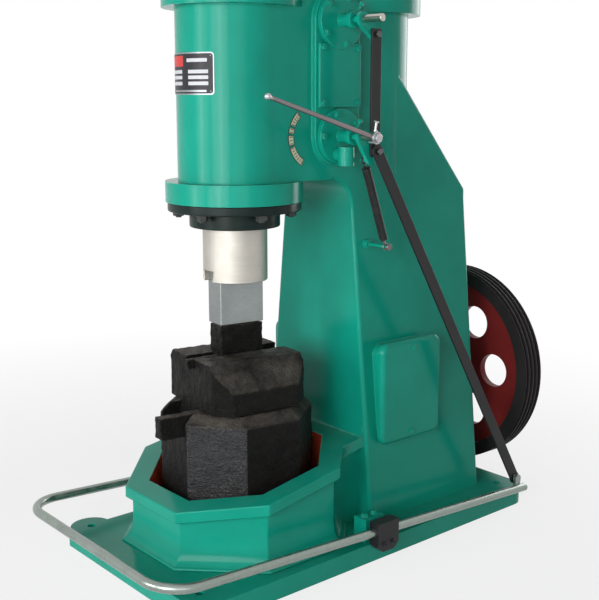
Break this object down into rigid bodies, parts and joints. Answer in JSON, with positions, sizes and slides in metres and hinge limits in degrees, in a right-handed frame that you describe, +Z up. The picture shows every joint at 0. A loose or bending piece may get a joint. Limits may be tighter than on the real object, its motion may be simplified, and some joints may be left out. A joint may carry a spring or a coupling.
{
  "type": "air forging hammer",
  "caption": "Single-frame air forging hammer: ram over an anvil in an octagonal collar, C-shaped frame with two cylinders, rotary valves, hand lever, foot treadle and rear flywheel.",
  "frame": {"origin": "on the floor under the base plate, straight below the axis of the ram", "axes": "+Z up along the ram, -Y toward the front of the hammer, +X toward the side with the valves and the hand lever"},
  "size_m": [0.864, 1.6898, 1.799],
  "materials": {
    "green_paint": "glossy machine enamel",
    "black_iron": "black oxide",
    "forged_steel": "rough forged, black",
    "bright_steel": "ground and polished",
    "galvanised_pipe": "dull galvanised",
    "plate_metal": "black face with a bare border",
    "scale_plate": "bare, dull",
    "wheel_red": "red web, black rim"
  },
  "bodies": {
    "frame_body": {"base_plate": "green_paint", "anvil_collar": "green_paint", "frame": "green_paint", "front_cover": "green_paint", "rear_cover": "green_paint", "gland_flange": "black_iron", "gland_ring": "black_iron", "bottom_die": "black_iron", "bottom_die_key": "black_iron", "sow_block": "forged_steel", "sow_wedge": "black_iron", "anvil": "forged_steel", "upper_valve_cover": "green_paint", "lower_valve_cover": "green_paint", "valve_chest_cover": "green_paint", "air_elbow": "green_paint", "hinge_block_right": "green_paint", "hinge_block_left": "green_paint", "spring_stud": "bright_steel", "side_cover_right": "green_paint", "side_cover_left": "green_paint", "nameplate": "plate_metal", "lever_scale": "scale_plate", "bearing_cap": "green_paint"},
    "ram_body": {"ram": "bright_steel", "top_die": "forged_steel", "top_die_key": "bright_steel"},
    "flywheel_body": {"flywheel": "wheel_red", "crankshaft": "bright_steel"},
    "lower_valve_body": {"lower_valve_shaft": "bright_steel", "lower_crank": "green_paint", "hand_lever": "bright_steel"},
    "upper_valve_body": {"upper_valve_shaft": "bright_steel", "upper_crank": "green_paint"},
    "link_body": {"link_bar": "black_iron"},
    "rod_body": {"treadle_rod": "black_iron"},
    "treadle_body": {"treadle": "galvanised_pipe", "treadle_clamp_right": "black_iron", "treadle_clamp_left": "black_iron"},
    "spring_coil_body": {"spring_coil": "black_iron"},
    "spring_hook_body": {"spring_hook": "bright_steel"}
  },
  "joints": [
    {"name": "ram_slide", "type": "slide", "parent": "frame_body", "child": "ram_body", "axis": [0, 0, 1], "range_m": [0, 0.16]},
    {"name": "flywheel_spin", "type": "hinge", "parent": "frame_body", "child": "flywheel_body", "pos_m": [0, 1.048, 0.436], "axis": [0, 1, 0], "continuous": true},
    {"name": "valve_turn", "type": "hinge", "parent": "frame_body", "child": "lower_valve_body", "pos_m": [0.3, 0.255, 1.308], "axis": [1, 0, 0], "range_deg": [0, 36], "stiffness_Nm_per_rad": 4, "springref_deg": -36.1},
    {"name": "upper_valve_turn", "type": "hinge", "parent": "frame_body", "child": "upper_valve_body", "pos_m": [0.3, 0.255, 1.648], "axis": [1, 0, 0], "range_deg": [0, 36]},
    {"name": "link_swing", "type": "hinge", "parent": "lower_valve_body", "child": "link_body", "pos_m": [0.3, 0.29743, 1.26557], "axis": [1, 0, 0], "range_deg": [-36, 0]},
    {"name": "rod_swing", "type": "hinge", "parent": "lower_valve_body", "child": "rod_body", "pos_m": [0.3, 0.29743, 1.26557], "axis": [1, 0, 0], "range_deg": [-37, 0]},
    {"name": "treadle_tilt", "type": "hinge", "parent": "frame_body", "child": "treadle_body", "pos_m": [0.37, 0.255, 0.106], "axis": [1, 0, 0], "range_deg": [0, 1.85]},
    {"name": "spring_coil_swing", "type": "hinge", "parent": "lower_valve_body", "child": "spring_coil_body", "pos_m": [0.267, 0.289, 1.238], "axis": [1, 0, 0], "range_deg": [-44.6, 0]},
    {"name": "spring_hook_swing", "type": "hinge", "parent": "frame_body", "child": "spring_hook_body", "pos_m": [0.267, 0.386, 0.966], "axis": [1, 0, 0], "range_deg": [-8.6, 0]}
  ],
  "couplings": [
    {"joint": "upper_valve_turn", "follows": "valve_turn", "ratio": 1},
    {"joint": "link_swing", "follows": "valve_turn", "ratio": -1},
    {"joint": "rod_swing", "follows": "valve_turn", "ratio": -1.0267},
    {"joint": "treadle_tilt", "follows": "valve_turn", "ratio": 0.05081},
    {"joint": "spring_coil_swing", "follows": "valve_turn", "ratio": -1.2383},
    {"joint": "spring_hook_swing", "follows": "valve_turn", "ratio": -0.23825}
  ]
}
